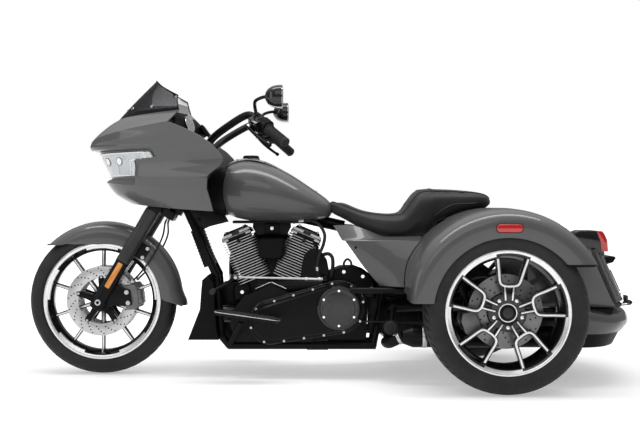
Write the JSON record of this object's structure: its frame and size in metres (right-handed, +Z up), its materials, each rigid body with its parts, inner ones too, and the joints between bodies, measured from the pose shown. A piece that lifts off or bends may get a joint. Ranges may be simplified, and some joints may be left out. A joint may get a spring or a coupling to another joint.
{
  "type": "motorized trike",
  "caption": "Touring motorcycle trike with an open V-twin engine, wide nose fairing, smoked screen, stepped saddle, fendered rear axle and a luggage trunk with a drop door",
  "frame": {"origin": "On the floor, midway along the length and midway across the width", "axes": "+X to the rear, +Y to the rider's right, +Z up"},
  "size_m": [2.6, 1.3914, 1.278],
  "materials": {
    "frame": "satin black",
    "crankcase": "black wrinkle and satin finish",
    "cylinders": "black wrinkle and satin finish",
    "primary_cover": "black wrinkle and satin finish",
    "air_cleaner": "satin black",
    "horn_cover": "satin black plastic",
    "exhaust": "satin black",
    "chin_fairing": "satin black plastic",
    "fuel_tank": "gloss mid grey paint",
    "tank_console": "satin black plastic",
    "seat": "matte black cover",
    "side_panels": "gloss mid grey paint",
    "trunk_shell": "gloss mid grey paint",
    "rear_fenders": "gloss mid grey paint",
    "rear_bumper": "gloss mid grey paint",
    "tail_lamps": "satin black plastic",
    "red_lenses": "red lens",
    "foot_rests": "matte black rubber",
    "foot_levers": "satin black",
    "rear_axle": "satin black",
    "rear_suspension": "satin black",
    "drive_belt": "matte black rubber",
    "rear_calipers": "black wrinkle and satin finish",
    "fairing_shell": "gloss mid grey paint",
    "headlamp": "clear lens",
    "windscreen": "dark smoke",
    "dash": "satin black plastic",
    "triple_clamps": "satin black",
    "fork_legs": "black wrinkle and satin finish",
    "fork_reflectors": "amber reflector",
    "front_axle": "brushed steel",
    "front_fender": "gloss mid grey paint",
    "front_calipers": "black wrinkle and satin finish",
    "handlebar": "satin black",
    "grips": "matte black rubber",
    "hand_controls": "satin black plastic",
    "hand_levers": "satin black",
    "mirrors": "gloss black",
    "brake_hoses": "matte black rubber",
    "front_tyre": "matte black rubber",
    "front_rim": "gloss black with machined edges",
    "front_discs": "brushed steel",
    "rear_tyre_left": "matte black rubber",
    "rear_rim_left": "gloss black with machined edges",
    "rear_hub_left": "brushed steel",
    "rear_tyre_right": "matte black rubber",
    "rear_rim_right": "gloss black with machined edges",
    "rear_hub_right": "brushed steel",
    "trunk_door": "gloss mid grey paint",
    "plate_bracket": "satin black plastic"
  },
  "bodies": {
    "chassis": {"frame": "frame", "crankcase": "crankcase", "cylinders": "cylinders", "primary_cover": "primary_cover", "air_cleaner": "air_cleaner", "horn_cover": "horn_cover", "exhaust": "exhaust", "chin_fairing": "chin_fairing", "fuel_tank": "fuel_tank", "tank_console": "tank_console", "seat": "seat", "side_panels": "side_panels", "trunk_shell": "trunk_shell", "rear_fenders": "rear_fenders", "rear_bumper": "rear_bumper", "tail_lamps": "tail_lamps", "red_lenses": "red_lenses", "foot_rests": "foot_rests", "foot_levers": "foot_levers", "rear_axle": "rear_axle", "rear_suspension": "rear_suspension", "drive_belt": "drive_belt", "rear_calipers": "rear_calipers", "fairing_shell": "fairing_shell", "headlamp": "headlamp", "windscreen": "windscreen", "dash": "dash"},
    "steering": {"triple_clamps": "triple_clamps", "fork_legs": "fork_legs", "fork_reflectors": "fork_reflectors", "front_axle": "front_axle", "front_fender": "front_fender", "front_calipers": "front_calipers", "handlebar": "handlebar", "grips": "grips", "hand_controls": "hand_controls", "hand_levers": "hand_levers", "mirrors": "mirrors", "brake_hoses": "brake_hoses"},
    "front_wheel": {"front_tyre": "front_tyre", "front_rim": "front_rim", "front_discs": "front_discs"},
    "rear_wheel_left": {"rear_tyre_left": "rear_tyre_left", "rear_rim_left": "rear_rim_left", "rear_hub_left": "rear_hub_left"},
    "rear_wheel_right": {"rear_tyre_right": "rear_tyre_right", "rear_rim_right": "rear_rim_right", "rear_hub_right": "rear_hub_right"},
    "trunk_door": {"trunk_door": "trunk_door", "plate_bracket": "plate_bracket"}
  },
  "joints": [
    {"name": "steer", "type": "hinge", "parent": "chassis", "child": "steering", "pos_m": [-0.91502, 0, 0.28093], "axis": [0.5075, 0, 0.8616], "range_deg": [-30, 30]},
    {"name": "front_wheel_spin", "type": "hinge", "parent": "steering", "child": "front_wheel", "pos_m": [-0.9805, 0, 0.3195], "axis": [0, 1, 0], "continuous": true},
    {"name": "rear_left_spin", "type": "hinge", "parent": "chassis", "child": "rear_wheel_left", "pos_m": [0.6895, -0.57, 0.32], "axis": [0, 1, 0], "continuous": true},
    {"name": "rear_right_spin", "type": "hinge", "parent": "chassis", "child": "rear_wheel_right", "pos_m": [0.6895, 0.57, 0.32], "axis": [0, 1, 0], "continuous": true},
    {"name": "trunk_door_hinge", "type": "hinge", "parent": "chassis", "child": "trunk_door", "pos_m": [1.256, 0, 0.331], "axis": [0, 1, 0], "range_deg": [0, 88]}
  ]
}
